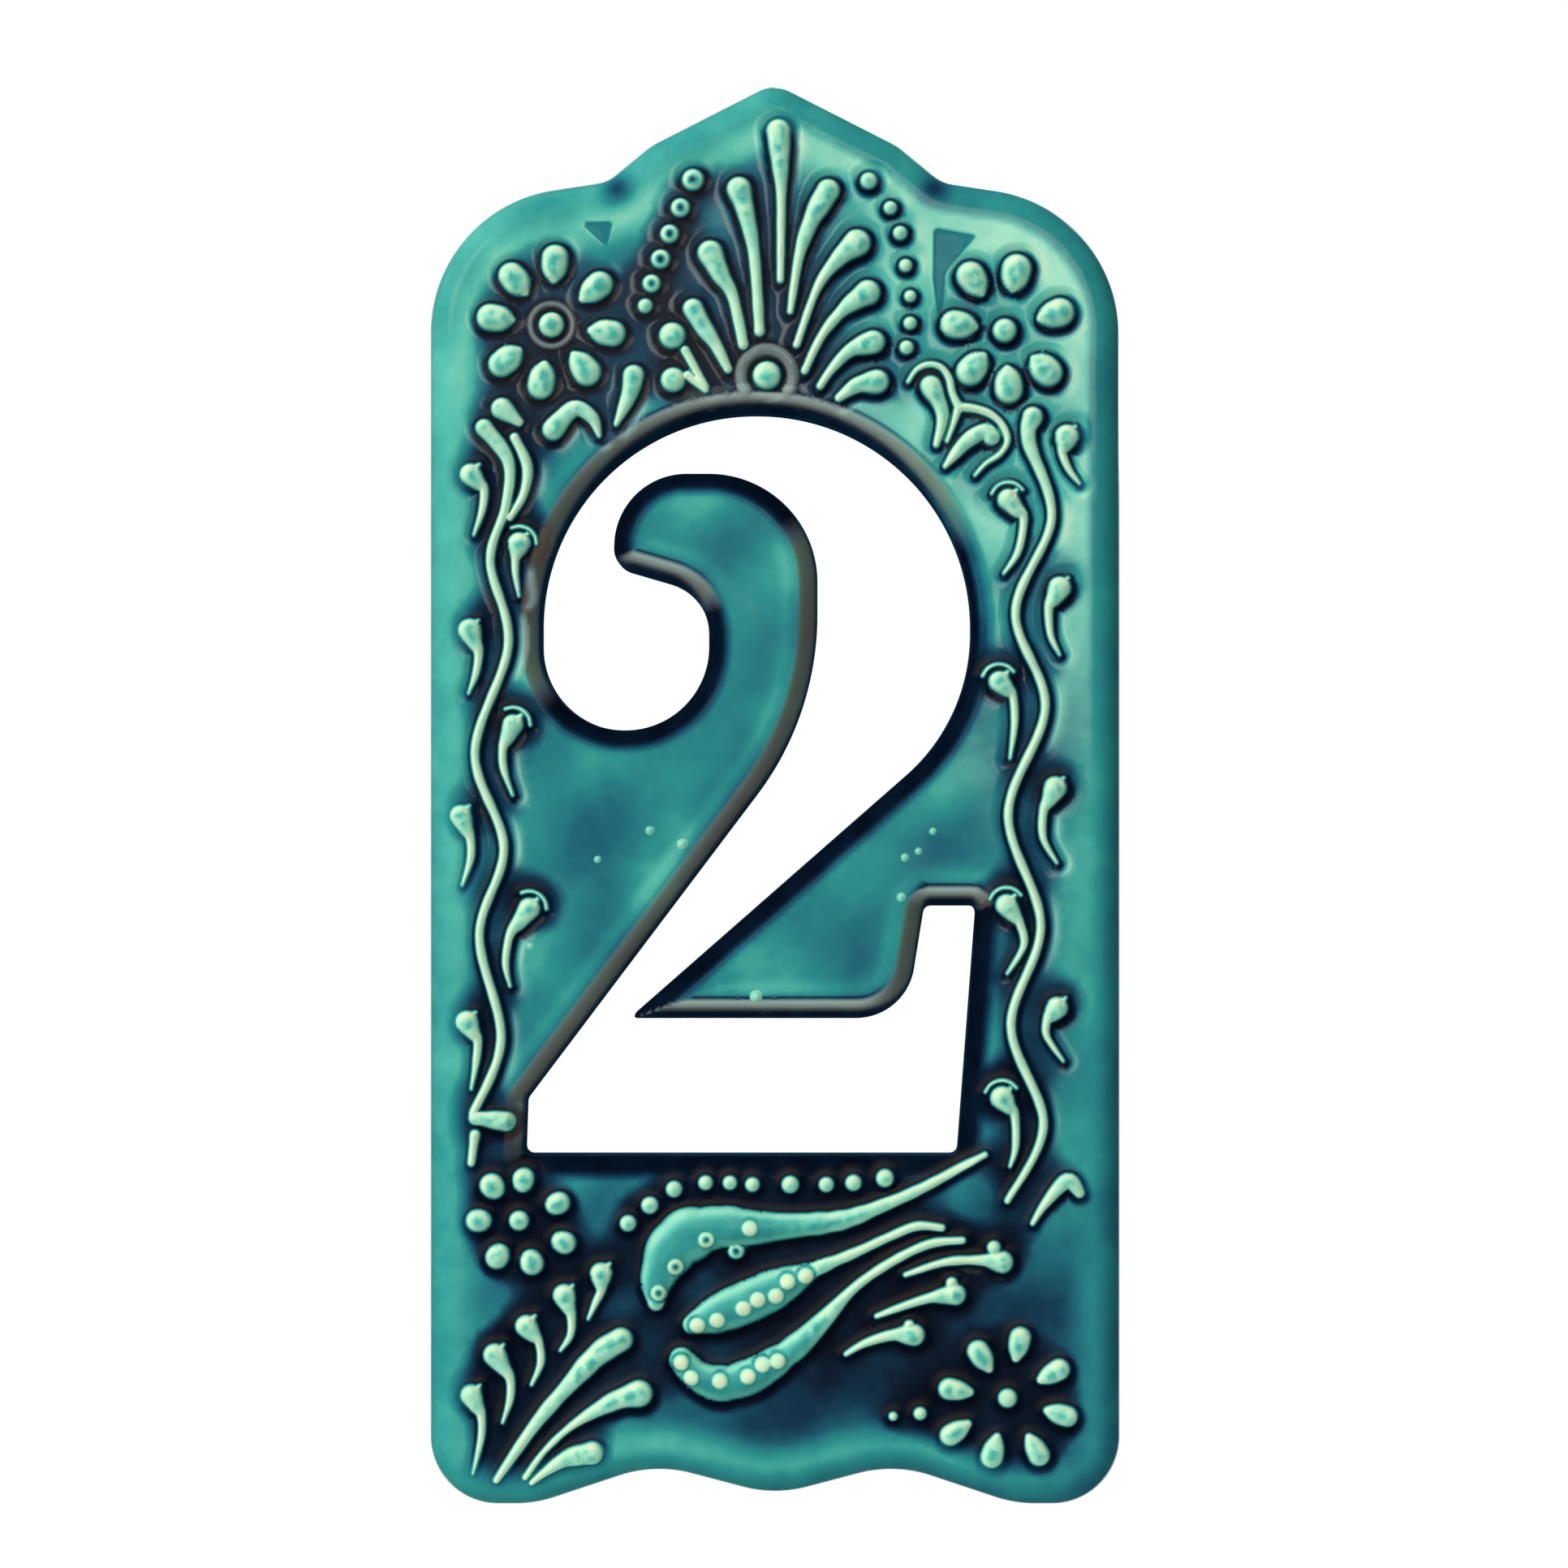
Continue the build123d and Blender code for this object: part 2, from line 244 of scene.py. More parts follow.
sprig = [
    [(-33.7, -66.6), (-32.6, -68.8), (-32.6, -71.3), (-33.5, -75.3)],
    [(-31.1, -62.1), (-29.4, -64.7), (-29.4, -67.0), (-30.2, -69.6)],
    [(-27.6, -58.9), (-26.2, -60.7), (-26.0, -63.0), (-27.0, -65.4)],
    [(-23.4, -55.5), (-22.6, -57.8), (-22.7, -59.9), (-23.8, -61.6)],
    [(-19.3, -53.1), (-19.3, -55.0), (-19.9, -56.3), (-20.7, -58.1)],
]
leaf_widths = (1.25, 0.85, 0.5, 0.4, 0.2)
nub = [(0.5, 0.6, 0.5), (0.95, 1.1, 0.22)]
curl_radius = 1.95
curl_width = 0.2
left_curl = np.radians(np.linspace(0, 115, 6))
right_curl = np.radians(np.linspace(35, 160, 6))
leaf_outlines = [
    [(14.8, 45.9, 0.25), (15.7, 47.2, 0.3), (17.0, 47.8, 0.35), (18.4, 47.5, 0.38), (19.3, 46.3, 0.4),
     (19.7, 44.6, 0.42), (20.4, 43.1, 0.5)],
    [(20.4, 43.1, 0.5), (19.8, 41.2, 0.35), (19.1, 39.3, 0.25)],
    [(20.4, 43.1, 0.5), (22.2, 42.9, 0.48), (23.9, 42.3, 0.42), (25.2, 41.1, 0.4), (25.8, 39.4, 0.38),
     (25.0, 37.9, 0.32), (23.4, 36.8, 0.28), (22.2, 35.5, 0.2)],
]
strokes += stems + side_strokes + arch_leaves + leaf_outlines
for leaves, curl in ((inner_left, left_curl), (inner_right, right_curl)):
    for (x, z), neck, waist, tip in leaves:
        arc = [(x + curl_radius * cos(turn), z + curl_radius * sin(turn)) for turn in curl]
        strokes.append([(*spot, curl_width) for spot in arc])
for head, neck, waist, tip in outer_left + inner_left + outer_right + inner_right + sprig:
    throat = (0.5 * head[0] + 0.5 * neck[0], 0.5 * head[1] + 0.5 * neck[1])
    spots = (head, throat, neck, waist, tip)
    strokes.append([(*spot, half) for spot, half in zip(spots, leaf_widths)])
    strokes.append([(head[0] + x, head[1] + z, half) for x, z, half in nub])

# The tulip: three broad petals of slip that sweep away into stalks, each studded with dots. Three long
# clubs lie in the left corner, and three short ones, with a dot at each head, under the stalks.
tulip = [
    [(-13.2, -56.3, 0.9), (-13.0, -53.4, 1.8), (-10.7, -49.5, 2.9), (-6.8, -48.0, 2.4), (-2.6, -48.0, 1.9),
     (2.7, -47.7, 1.3), (7.6, -47.1, 1.1), (12.0, -45.5, 0.75), (16.5, -43.5, 0.6), (23.3, -39.9, 0.35)],
    [(-9.2, -58.7, 1.0), (-6.2, -57.5, 2.0), (-2.6, -56.0, 2.3), (1.0, -54.3, 1.9), (4.2, -52.7, 0.9),
     (9.0, -50.7, 0.55), (12.9, -48.9, 0.5), (15.8, -47.8, 0.5), (18.5, -48.0, 0.4)],
    [(-10.4, -62.6, 1.3), (-8.6, -64.4, 1.6), (-5.9, -65.3, 1.9), (-2.6, -64.4, 1.9), (0.4, -62.6, 1.6),
     (3.1, -60.5, 1.3), (5.8, -57.8, 0.9), (9.0, -54.5, 0.55), (12.9, -51.8, 0.5), (17.1, -49.8, 0.5),
     (20.8, -49.4, 0.4)],
]
clubs = [
    [(-17.1, -60.4, 1.35), (-19.7, -62.1, 1.3), (-22.9, -65.5, 0.9), (-26.6, -69.8, 0.7),
     (-30.9, -76.0, 0.4)],
    [(-15.1, -66.4, 1.4), (-18.0, -67.3, 1.0), (-22.3, -69.8, 0.45), (-25.5, -72.7, 0.35),
     (-27.7, -75.7, 0.35)],
    [(-20.3, -73.0, 1.35), (-23.1, -73.6, 0.9), (-25.5, -75.1, 0.5), (-27.0, -76.3, 0.35)],
    [(25.2, -51.8, 1.25), (22.9, -51.6, 0.6), (18.9, -51.8, 0.45), (14.5, -53.2, 0.3)],
    [(20.0, -55.4, 1.2), (17.5, -55.7, 0.6), (14.5, -56.6, 0.45), (11.3, -57.8, 0.3)],
    [(15.4, -59.9, 1.2), (13.0, -59.9, 0.65), (10.0, -60.8, 0.45), (7.9, -62.0, 0.3)],
    [(24.3, -50.2, 0.75)],
    [(19.6, -54.1, 0.65)],
    [(14.9, -58.8, 0.6)],
]
tulip_first = len(strokes)
tulip_last = tulip_first + len(tulip)
strokes += tulip + clubs
studs = [(-12.9, -55.1), (-11.0, -52.2), (-7.6, -49.2), (-2.8, -47.9)]
studs += [(-8.6, -58.7), (-6.4, -58.1), (-3.5, -56.8), (-1.9, -55.8)]
studs += [(0.1, -55.4), (1.4, -53.8), (3.4, -53.2)]
studs += [(-10.4, -62.8), (-9.3, -64.5), (-6.1, -64.8), (-3.0, -64.3), (-1.4, -63.0), (0.3, -62.6)]
stud_radius = 0.95
pits = [(x, z, 0.3) for x, z in studs[:3]]
pits += [(x, z, 0.32) for x, z, radius in dots_left[:5]]
pits += [(x, z, 0.3) for x, z, radius in dots_single[-1:]]

# Low ridges of slip round the palmette's ball and one of the bosses, and two hollows where the wet
# ground was wiped. The ground is also painted darker in the two notches of the top edge.
ridge_steps = 25
ridge_arcs = [(-0.9, 46.6, 2.9, 0.65, -35, 215), (-24.8, 52.2, 2.35, 0.3, 0, 360)]
ridges = []
for x, z, radius, half, first, last in ridge_arcs:
    turn = np.radians(np.linspace(first, last, ridge_steps))
    ridge_x, ridge_z = x + radius * np.cos(turn), z + radius * np.sin(turn)
    ridges.append(np.column_stack([ridge_x, ridge_z, np.full(ridge_steps, half)]))
hollow_left = [(-17.7, 63.4, 0.3), (-21.8, 63.3, 0.3), (-18.4, 60.2, 0.4)]
hollow_right = [(22.4, 61.8, 0.2), (17.4, 62.7, 0.5), (17.3, 57.0, 2.0), (18.4, 48.8, 0.2), (18.9, 57.6, 2.0)]
hollow_step = 0.3
hollow_drop = 0.08
hollow_edge = 0.2
hollows = [rounded_outline(corners, hollow_step) for corners in (hollow_left, hollow_right)]
notches = [(-17.4, 66.9), (17.6, 66.9)]

# Grains of grog, the crushed fired clay in the body, which lie under the glaze on the open ground.
# Each stands out as a small pale pimple, given by x, z and a radius.
specks = [(-13.9, -3.9, 0.4), (-10.3, -5.4, 0.5), (-19.7, -7.1, 0.3), (-27.2, -16.7, 0.3)]
specks += [(14.4, -6.9, 0.35), (15.9, -6.2, 0.3), (17.5, -4.0, 0.3), (14.0, -11.3, 0.4)]
specks += [(-2.1, -22.3, 0.6)]

# The slip as it lies: each list of places is one bead, run on in a single sweep, so that its line is
# smooth and its width a little uneven. All places are drawn in toward the middle, because the relief
# is nearer to the eye than the plane on which they were marked.
bead_spacing = 0.34
width_wobble = 0.03
draw_in = 0.9935
bead_reach = 6.0
small_reach = 2.0
crowd_reach = 2.4
dot_length = 1e-4


def smooth_line(points):
    """A curve through x, z, half-width points, as closely spaced rows of the same.

    Between two points it is the cubic whose slope at each is half the step from the point
    before it to the point after it, with the end points counted twice.
    """
    given = np.array(points, float)
    if len(given) == 1:
        return np.repeat(given, 2, 0) + [[0, 0, 0], [dot_length, 0, 0]]
    before, after = np.vstack([given[:1], given[:-1]]), np.vstack([given[1:], given[-1:]])
    slope = (after - before) / 2
    rows = []
    for k in range(len(given) - 1):
        steps = max(2, ceil(np.linalg.norm(given[k + 1, :2] - given[k, :2]) / bead_spacing))
        t = np.linspace(0, 1, steps, endpoint=False)[:, None]
        rows.append(given[k] * (2 * t**3 - 3 * t**2 + 1) + given[k + 1] * (3 * t**2 - 2 * t**3)
                    + slope[k] * (t**3 - 2 * t**2 + t) + slope[k + 1] * (t**3 - t**2))
    return np.vstack(rows + [given[-1:]])


def nearest_bead(lines, points, reach=bead_reach):
    """For each point, how it lies to the nearest of the beads laid along these lines.

    Gives the gap to the bead's edge, which is negative on the bead, the bead's half-width there,
    the crowd, a sum over the beads that falls off as a bell curve with each one's gap, the way
    from the bead's spine to the point, of length one, and the bead's number in the list.
    """
    gap = np.full(len(points), reach)
    width = np.ones(len(points))
    crowd = np.zeros(len(points))
    way = np.zeros((len(points), 2))
    which = np.full(len(points), -1)
    for number, line in enumerate(lines):
        room = reach + line[:, 2].max()
        first, last = line[:, :2].min(0) - room, line[:, :2].max(0) + room
        near = np.flatnonzero(((points > first) & (points < last)).all(1))
        if not len(near):
            continue
        start, step = line[:-1], np.diff(line, axis=0)
        offset = points[near, None, :] - start[None, :, :2]
        along = np.clip((offset * step[:, :2]).sum(2) / (step[:, :2] ** 2).sum(1), 0, 1)
        offset -= along[:, :, None] * step[:, :2]
        distance = np.linalg.norm(offset, axis=2)
        half = start[:, 2] + along * step[:, 2]
        row = np.arange(len(near))
        pick = (distance - half).argmin(1)
        own_half = half[row, pick]
        own_gap = distance[row, pick] - own_half
        own_way = offset[row, pick] / np.maximum(distance[row, pick], 1e-6)[:, None]
        crowd[near] += np.exp(-((np.maximum(own_gap, 0) / crowd_reach) ** 2))
        closer = own_gap < gap[near]
        gap[near[closer]] = own_gap[closer]
        width[near[closer]] = own_half[closer]
        way[near[closer]] = own_way[closer]
        which[near[closer]] = number
    return gap, width, crowd, way, which


def uneven(points, size, seed):
    """A smooth uneven field of about -1 to 1: sine waves of about that length, each with its own
    direction and phase, added up and divided by the root of half their number."""
    waves = 9
    draw = np.random.default_rng(seed)
    turn, phase = draw.uniform(0, 2 * pi, (2, waves))
    wave = 2 * pi / (size * draw.uniform(0.7, 1.4, waves))
    return np.sin(points @ (wave * [np.cos(turn), np.sin(turn)]) + phase).sum(1) / np.sqrt(waves / 2)


bead_lines = [smooth_line(stroke) for stroke in strokes]
for line in bead_lines:
    line[:, 2] *= 1 + width_wobble * uneven(line[:, :2], size=2.5, seed=1)
stud_lines = [smooth_line([(x, z, stud_radius)]) for x, z in studs]
speck_lines = [smooth_line([speck]) for speck in specks]
pit_lines = [smooth_line([pit]) for pit in pits]
ridge_lines = [smooth_line(ridge) for ridge in ridges]
for line in bead_lines + stud_lines + speck_lines + pit_lines + ridge_lines:
    line[:, :2] *= draw_in

# The face of the slab with all its relief: a height over the back at every point. The points lie close
# together on the beads, in loops along them, and wider apart on the open ground, and rings of them
# follow the rounded edge and the numeral's lip. Even triangles join them.
fill_step = 0.32
open_step = 0.62
last_margin = 1.6
merge_cell = 0.1
ring_room = 0.15
fill_room = 0.2
open_room = 0.25
fill_margin = 0.1
open_margin = 0.15
weld = 1e-6
edge_clear = 0.03
lip_clear = 0.08
bead_loops = [(0.0, 0.0)] + [(1.0, margin) for margin in (0.0, -0.15, -0.4, 0.2, 0.5, 0.85, 1.2, last_margin)]
edge_rings = edge_round * (1 - np.cos(np.radians(np.arange(0, 91, 10))))
lip_rings = np.array([0, 0.15, 0.4, 0.7, 1.0, 1.3, 1.6, 1.85, 2.1, 2.35, 2.65])


def lattice(step):
    """Points in rows, each row shifted by half a step, so that they make even triangles: the rows
    are the step times the sine of 60 degrees apart."""
    row = np.arange(bottom_z, top_z, step * sin(pi / 3))
    across = np.arange(-half_width, half_width, step)
    x, z = np.meshgrid(across, row)
    x[1::2] += step / 2
    return np.stack([x.ravel(), z.ravel()], 1)


def moved_in(line, inset):
    """A closed line moved sideways, to its left: at each point by the inset along the normal of the
    step from the point before it to the point after it."""
    way = np.roll(line, -1, 0) - np.roll(line, 1, 0)
    way /= np.linalg.norm(way, axis=1)[:, None]
    return line + inset * np.stack([-way[:, 1], way[:, 0]], 1)


def ring(line, inset):
    """The line moved in by an inset, without the points that come nearer to it than 0.98 of that."""
    moved = moved_in(line, inset)
    return moved[clear_of(line, moved)[0] > 0.98 * inset] if inset else moved


def around(line, share, more):
    """Points round a bead, at a share of its half-width and a margin more from its spine: first those
    along both sides, then a half circle at each end. Gives them with the half-widths they go by."""
    way = np.gradient(line[:, :2], axis=0)
    way /= np.linalg.norm(way, axis=1)[:, None]
    left = np.stack([-way[:, 1], way[:, 0]], 1)
    reach = np.maximum(share * line[:, 2] + more, 0)[:, None]
    spots = [line[:, :2] + reach * left, line[:, :2] - reach * left]
    half = [line[:, 2], line[:, 2]]
    for k, onward in ((0, -way[0]), (-1, way[-1])):
        angle = np.linspace(-pi / 2, pi / 2, 2 + ceil(pi * reach[k, 0] / bead_spacing))[1:-1, None]
        spots.append(line[k, :2] + reach[k] * (np.cos(angle) * onward + np.sin(angle) * left[k]))
        half.append(np.full(len(angle), line[k, 2]))
    return np.vstack(spots), np.concatenate(half)


def laid_along(lines):
    """Points that follow these beads in loops, each moved along the way from the spine until its gap
    is the loop's own, without those that lie nearer to another bead."""
    spots, wanted, owner = [], [], []
    for share, more in bead_loops:
        for number, line in enumerate(lines):
            spot, half = around(line, share, more)
            spots.append(spot)
            wanted.append(np.maximum(more - (1 - share) * half, -half))
            owner.append(np.full(len(spot), number))
    spots = np.vstack(spots)
    gap, width, crowd, way, which = nearest_bead(lines, spots, last_margin + 1)
    spots -= (gap - np.concatenate(wanted))[:, None] * way
    return spots[which == np.concatenate(owner)]


def cells(points, size):
    """The number of the square cell of that size in which each point lies: its column plus a large
    number times its row, counted from a corner well outside the body."""
    corner, row_length = 100, 10000
    column, row = np.floor((points + corner) / size).astype(int).T
    return column + row_length * row


def apart(points, others, size):
    """Whether no other point lies in a point's own cell or the eight around it."""
    taken = np.unique(cells(others, size))
    steps = [(a * size, b * size) for a in (-1, 0, 1) for b in (-1, 0, 1)]
    return ~np.any([np.isin(cells(points + step, size), taken) for step in steps], axis=0)


def triangles(points, loops):
    """Even triangles, whose circles hold no other point, between the first loop and the second. The
    loops come first among the points. A triangle with only loop points counts by its middle."""
    first = np.cumsum([0] + [len(loop) for loop in loops])
    runs = np.split(np.arange(first[-1]), first[1:-1])
    edges = np.vstack([np.column_stack([run, np.roll(run, -1)]) for run in runs])
    made = delaunay_2d_cdt(points.tolist(), edges.tolist(), [], 0, weld)
    place = np.array(made[0], float)
    corners = np.array(made[2])
    kept = (corners >= first[-1]).any(1)
    middle = place[corners[~kept]].mean(1)
    kept[~kept] = clear_of(loops[0], middle)[1] & ~clear_of(loops[1], middle)[1]
    return place, corners[kept]


laid = [laid_along(lines) for lines in (bead_lines, stud_lines, speck_lines, ridge_lines)]
laid += [ring(line, inset) for line in hollows for inset in (0.0, -hollow_edge, hollow_edge)]
laid = np.vstack(laid)
laid = laid[np.sort(np.unique(cells(laid, merge_cell), return_index=True)[1])]
rings = [ring(outline, inset) for inset in edge_rings[1:]] + [ring(numeral, inset) for inset in lip_rings[1:]]
rings = np.vstack(rings)
fill, wide = lattice(fill_step), lattice(open_step)
fill = fill[nearest_bead(bead_lines, fill, 2 * fill_margin)[0] < fill_margin]
wide = wide[nearest_bead(bead_lines, wide, last_margin + 0.2)[0] > last_margin + open_margin]
rings = rings[apart(rings, laid, ring_room)]
fill = fill[apart(fill, laid, fill_room)]
wide = wide[apart(wide, laid, open_room)]
spread = np.vstack([laid, rings, fill, wide])
from_edge, in_edge = clear_of(outline, spread)
from_lip, in_lip = clear_of(numeral, spread)
kept = in_edge & ~in_lip & (from_edge > edge_clear) & (from_lip > lip_clear)
on_lattice = np.arange(len(spread)) >= len(laid) + len(rings)
kept &= ~on_lattice | (from_edge > edge_round + ring_room) & (from_lip > lip_rings[-1] + ring_room)
spread = np.vstack([outline, numeral, spread[kept]])
from_edge, from_lip = clear_of(outline, spread)[0], clear_of(numeral, spread)[0]
face_points, face_corners = triangles(spread, [outline, numeral])
gap, width, crowd, way, which = nearest_bead(bead_lines, face_points)
stud_gap, stud_width = nearest_bead(stud_lines, face_points, small_reach)[:2]
speck_gap, speck_width = nearest_bead(speck_lines, face_points, small_reach)[:2]
pit_gap, pit_width = nearest_bead(pit_lines, face_points, small_reach)[:2]
ridge_gap, ridge_width = nearest_bead(ridge_lines, face_points, small_reach)[:2]

groove_depth = 0.26
groove_reach = 0.8
dish_depth = 0.03
crown_rise = 0.1
bead_wobble = 0.04
stud_height = 0.6
speck_height = 0.8
ridge_height = 0.6
rim_height = 0.03
rim_gap = 1.25
rim_width = 0.32
pit_depth = 0.4
sag_height = 0.03
settle_start = 2.0
settle_reach = 5.0
lip_curve = 1.4
low_groove = 0.55
full_width = 0.8


def bead_height(gap, width, tallest):
    """A bead's height over its foot: its crest follows its half-width, and its flanks are an arch.

    The crest is the tallest height times one less e to the power of minus the half-width over the
    full width. With q the distance from the spine over the half-width, the height is the crest
    times (1 - q^2.5)^0.65.
    """
    q = np.clip(1 + gap / width, 0, 1)
    return tallest * (1 - np.exp(-width / full_width)) * (1 - q**2.5) ** 0.65


def out_of(line, points):
    """Each point's distance to a closed line, which is negative inside it."""
    distance, inside = clear_of(line, points)
    return np.where(inside, -distance, distance)


def ramp(value, first, last):
    """A share that goes evenly from 0 at the first value to 1 at the last, and stays there."""
    return np.clip((value - first) / (last - first), 0, 1)


def bell(value, reach):
    """A bell curve: 1 at zero, falling as e to the power of minus the square of value over reach."""
    return np.exp(-((value / reach) ** 2))


across, up = face_points.T
outside = np.maximum(gap, 0)
in_pit = bell(pit_gap + pit_width, pit_width)
wiped = ramp(np.max([-out_of(line, face_points) for line in hollows], axis=0), 0, hollow_edge)
low_run = ramp(up, -15, -45)
settle = 1 - bell(np.maximum(np.minimum(from_edge - settle_start, from_lip), 0), settle_reach)
within = np.maximum(edge_round - from_edge, 0)
rounding = np.sqrt(np.maximum(edge_round**2 - within**2, 0)) - edge_round
bevel = -lip_drop * ramp(from_lip, lip_width, 0) ** lip_curve
groove = groove_depth * (1 - low_groove * low_run) * bell(outside, groove_reach)
moat_rim = bell(outside - rim_gap, rim_width) * ramp(from_edge, 2.5, 4.5) * (1 - low_run)
moat_rim *= ramp(crowd, 1.45, 0.95)
relief = bead_height(gap, width, relief_height + crown_rise)
relief *= 1 + bead_wobble * uneven(face_points, size=2.8, seed=2)
relief += bead_height(stud_gap, stud_width, stud_height) + bead_height(speck_gap, speck_width, speck_height)
relief += bead_height(ridge_gap, ridge_width, ridge_height)
relief += rim_height * moat_rim - pit_depth * in_pit - hollow_drop * wiped
sag = sag_height * uneven(face_points, size=11.0, seed=3) * settle
ground_height = thickness + rounding + bevel - dish_depth * settle + sag
height = ground_height + (relief - groove) * ramp(from_lip, 0, 1)

# The walls and the flat back of the slab. The walls go straight back from the rounded edge and from
# the lip, with a small arris where they meet the back, which is left unglazed so that adhesive holds.
wall_levels = (0.72, 0.45, 0.2, 0.05)
arris = 0.25
back_step = 4.0
back_room = 2.0


def wall(line, depth, edge_first, own_first):
    """A wall from the face's edge to the back: the line repeated at each share of the depth, then
    once more at the back itself, moved in by the arris. Its faces count the edge's points and its
    own from the numbers given. Gives points, four-sided faces and the line at the back."""
    count = len(line)
    back = moved_in(line, arris)
    rows = [(line, -share * depth) for share in wall_levels] + [(back, 0.0)]
    k = np.arange(count)
    levels = [edge_first + k] + [own_first + row * count + k for row in range(len(rows))]
    quads = [np.column_stack([a, b, np.roll(b, -1), np.roll(a, -1)]) for a, b in zip(levels, levels[1:])]
    points = [np.column_stack([row[:, 0], np.full(count, y), row[:, 1]]) for row, y in rows]
    return np.vstack(points), np.vstack(quads), back


points = np.column_stack([across, -height, up])
face_count = len(points)
edge_points, edge_quads, edge_back = wall(outline, thickness - edge_round, 0, face_count)
lip_first = face_count + len(edge_points)
lip_points, lip_quads, lip_back = wall(numeral, thickness - lip_drop, len(outline), lip_first)
points = np.vstack([points, edge_points, lip_points])

back_wide = lattice(back_step)
room = np.minimum(-out_of(outline, back_wide), out_of(numeral, back_wide))
back_wide = back_wide[room > back_room]
back_corners = triangles(np.vstack([edge_back, lip_back, back_wide]), [edge_back, lip_back])[1]
back_rim = np.concatenate([
    lip_first - len(outline) + np.arange(len(outline)),
    len(points) - len(numeral) + np.arange(len(numeral)),
])
back_index = np.concatenate([back_rim, len(points) + np.arange(len(back_wide))])
points = np.vstack([points, np.column_stack([back_wide[:, 0], np.zeros(len(back_wide)), back_wide[:, 1]])])

mesh = bpy.data.meshes.new("glazed_plaque")
quads = np.vstack([edge_quads, lip_quads])
faces = face_corners.tolist() + quads.tolist() + back_index[back_corners[:, ::-1]].tolist()
mesh.from_pydata((points * mm).tolist(), [], faces)
mesh.shade_smooth()
material_index = np.zeros(len(faces), np.int32)
material_index[len(face_corners) + len(quads):] = 1
mesh.polygons.foreach_set("material_index", material_index)

on_back_rim = np.zeros(len(points), bool)
on_back_rim[back_rim] = True
edge_ends = np.empty(2 * len(mesh.edges), np.int32)
mesh.edges.foreach_get("vertices", edge_ends)
sharp = on_back_rim[edge_ends.reshape(-1, 2)].all(1)
mesh.attributes.new("sharp_edge", "BOOLEAN", "EDGE").data.foreach_set("value", sharp)

plaque = bpy.data.objects.new("glazed_plaque", mesh)
bpy.context.scene.collection.objects.link(plaque)
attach(plaque, "root")
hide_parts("plaque")

# The glaze is a copper turquoise lead glaze, dipped over white slip and fired to a full gloss.
# Where it is thin it lets the slip show as pale mint, and where it has run together it is navy.
# Its depth at each point of the face is a number, from 0 for the thinnest to 1 for the deepest, and painted
# light and shade are worked into the same number, as set out below.
open_depth = 0.5
# A painted sheen: how much lighter the ground is painted at the upper right.
sheen_lighten = 0.27
# How much darker the ground is painted towards the bottom.
foot_darkening = 0.36
# A band inside the edge painted lighter, partly thin glaze and partly painted light.
band_thin_and_lit = 0.15
# How much lighter the lit side of the moat rims is painted, as a painted highlight.
rim_highlight_lift = 0.25
band_inset = 3.6
band_reach = 2.0
cloud_depth = 0.05
cloud_size = 13.0
# Painted shade and light on the edges: darker to the right and bottom, lighter to the left and top.
edge_shade_lean = 0.07
edge_reach = 3.5
moat_width = 0.72
# Painted shadow: how much wider the pool is on each bead's lower side.
shadow_lean = 0.38
ridge_moat = 0.8
crowd_start = 0.8
wiped_depth = 0.58
ridge_depth = 0.7
notch_depth = 0.85
notch_reach = 1.6
edge_slack = 0.04
# The way toward the light, up and to the left, which the painted shadows and shading follow.
light_way = np.array([-0.4, 0.92])
# The side of the moat rims that carries the painted highlight.
rim_highlight_way = np.array([0.95, -0.3])


def toward(value, goal, share):
    """A value moved toward a goal: the value plus the share times what is missing."""
    return value + (goal - value) * share


# The glaze pools deep round each bead and wherever beads crowd together, partly as real thick glaze
# and partly as painted shade between them. The pool round a bead is widened on its lower side as a
# painted shadow, and the crowded pools are painted darker towards the bottom. The upper right is
# painted lighter, as a sheen, and a band inside the edge is lighter, partly thin glaze and partly
# painted light; the edges are painted darker to the right and bottom and lighter to the left and top.
lightward = way @ light_way
# Where the ground is painted lighter at the upper right, as a painted sheen.
sheen_zone = ramp(up, 5, 35) * ramp(across + 0.25 * (up - 52), 2, 14)
painted_sheen = sheen_zone * ramp(from_edge, 3.2, 4.0)
moat_reach = (moat_width - shadow_lean * lightward) * np.clip(0.4 + 0.6 * width, 0.6, 1)
# Pools round the beads and where they crowd: partly thick glaze, partly painted shade between the beads, with
# painted shadow on each bead's lower side; darker towards the bottom, lighter under the painted sheen.
pool_and_shadow_near = np.maximum(np.exp(-((outside / moat_reach) ** 4)), ridge_moat * bell(ridge_gap, 0.4))
pool_and_shade_wide = (0.8 + 0.8 * low_run) * (1 - 0.8 * painted_sheen) * np.maximum(crowd - crowd_start, 0)
pool_and_shade_wide = 1 - np.exp(-pool_and_shade_wide)
pool_and_shade = (1 - (1 - pool_and_shadow_near) * (1 - pool_and_shade_wide)) * ramp(from_edge, 1.5, 5.5)
on_ridge = ramp(ridge_gap, 0.15, -0.15)
# The painted highlight on the moat rims, on the side that faces the light.
rim_highlight = moat_rim * np.clip(way @ rim_highlight_way, 0, 1)
arch = ramp(up, 45, 57)
band = from_edge - band_inset - 1.4 * arch
# The band is painted lighter toward the arch, and weaker on the right and low on the sides, as painted light
# and shade.
lift = band_thin_and_lit + 0.07 * arch - 0.07 * low_run * ramp(np.abs(across), 26, 34) - 0.06 * ramp(across, 20, 30)
# The open ground, painted lighter at the upper right as a painted sheen.
ground = open_depth + 0.04 * settle - sheen_lighten * painted_sheen
cloud = uneven(face_points, cloud_size, seed=4) * np.maximum(ramp(from_edge, 2, 6), 0.25)
ground += cloud_depth * cloud
# The ground is darker towards the bottom, a little right of the middle.
ground += foot_darkening * ramp(from_edge, 3, 6) * bell(across - 10, 24) * bell(up + 60, 15)
